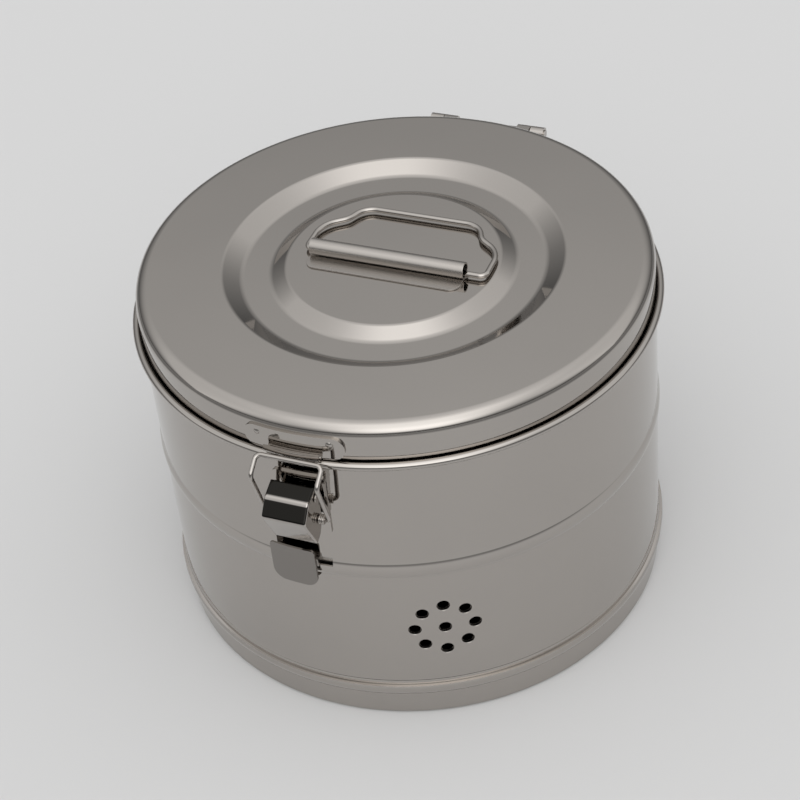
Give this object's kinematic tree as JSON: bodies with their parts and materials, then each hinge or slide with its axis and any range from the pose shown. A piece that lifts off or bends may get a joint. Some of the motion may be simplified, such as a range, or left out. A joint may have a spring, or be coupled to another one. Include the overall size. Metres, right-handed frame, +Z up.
{
  "type": "sterilization drum",
  "caption": "Round sheet-metal sterilization drum with hinged lid, folding wire handle, over-centre latch and a turning ring that shuts the steam vents.",
  "frame": {"origin": "on the drum's axis at the height of the foot, in the middle of the circle that it stands on", "axes": "+Z up along the drum's axis, -Y towards the latch, +Y towards the hinge, +X to the right of the latch"},
  "size_m": [0.2466, 0.2721, 0.1854],
  "materials": {
    "bracket_steel": "polished",
    "bush_steel": "polished",
    "foot_steel": "polished",
    "grip_steel": "polished",
    "hinge_steel": "polished",
    "keeper_steel": "polished",
    "latch_base_steel": "polished",
    "lever_steel": "polished",
    "lid_steel": "polished, fine grain",
    "neck_steel": "satin",
    "pan_steel": "satin",
    "pin_steel": "bright drawn",
    "ring_steel": "satin",
    "rivet_steel": "polished",
    "wall_steel": "polished, fine vertical grain",
    "wire_steel": "bright drawn wire"
  },
  "bodies": {
    "drum": {"drum_wall": "wall_steel", "base_ring": "foot_steel", "bottom_pan": "pan_steel", "neck_collar": "neck_steel", "hinge_leaf_body": "hinge_steel", "hinge_rivets_body": "rivet_steel", "hinge_pin": "pin_steel", "latch_base": "latch_base_steel", "latch_base_rivets": "rivet_steel", "latch_pivot_pin": "pin_steel"},
    "lid": {"lid_shell": "lid_steel", "hinge_leaf_lid": "hinge_steel", "hinge_rivets_lid": "rivet_steel", "handle_bracket": "bracket_steel", "keeper_plate": "keeper_steel", "keeper_rivets": "rivet_steel"},
    "handle": {"handle_wire": "wire_steel"},
    "lever": {"latch_lever": "lever_steel"},
    "bail": {"latch_bail": "wire_steel", "bail_bushes": "bush_steel"},
    "shutter": {"shutter_ring": "ring_steel", "grip_neck": "ring_steel", "shutter_grip": "grip_steel"}
  },
  "joints": [
    {"name": "lid_hinge", "type": "hinge", "parent": "drum", "child": "lid", "pos_m": [0, 0.1295, 0.1655], "axis": [-1, 0, 0], "range_deg": [0, 105]},
    {"name": "handle_fold", "type": "hinge", "parent": "lid", "child": "handle", "pos_m": [0, -0.0062, 0.1798], "axis": [1, 0, 0], "range_deg": [0, 180]},
    {"name": "latch_lever_pivot", "type": "hinge", "parent": "drum", "child": "lever", "pos_m": [0, -0.1265, 0.1438], "axis": [-1, 0, 0], "range_deg": [0, 105]},
    {"name": "latch_bail_pivot", "type": "hinge", "parent": "lever", "child": "bail", "pos_m": [0, -0.126, 0.131], "axis": [1, 0, 0], "range_deg": [0, 126]},
    {"name": "shutter_turn", "type": "hinge", "parent": "drum", "child": "shutter", "pos_m": [0, 0, 0.074], "axis": [0, 0, 1], "range_deg": [0, 2.77]}
  ],
  "couplings": [
    {"joint": "latch_bail_pivot", "follows": "latch_lever_pivot", "ratio": 1.2}
  ]
}
